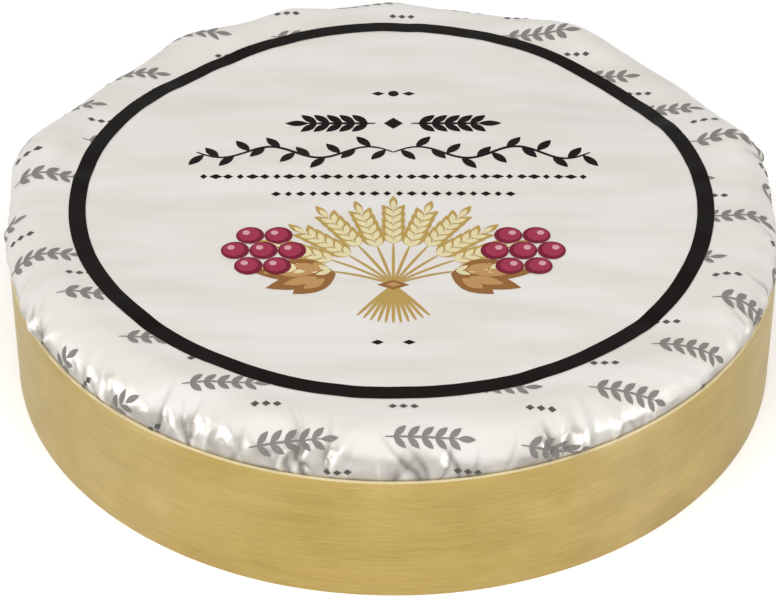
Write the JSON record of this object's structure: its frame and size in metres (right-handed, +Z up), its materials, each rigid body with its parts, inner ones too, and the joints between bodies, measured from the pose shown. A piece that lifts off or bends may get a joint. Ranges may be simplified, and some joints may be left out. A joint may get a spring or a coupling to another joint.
{
  "type": "brie wheel in a paper wrapper and a wooden band",
  "caption": "Small round soft-cheese wheel, shut in a gathered white paper wrapper and held by a thin wooden band around its side.",
  "frame": {"origin": "centre of the base, where the wheel and the lower edge of its band stand", "axes": "+Z up, along the axis of the wheel; +Y towards the lap of the band, at the back"},
  "size_m": [0.1262, 0.1262, 0.0298],
  "materials": {
    "wrapper_paper": "satin",
    "band_wood": "satin"
  },
  "bodies": {
    "root": {"wrapped_wheel": "wrapper_paper", "band": "band_wood"}
  },
  "joints": []
}
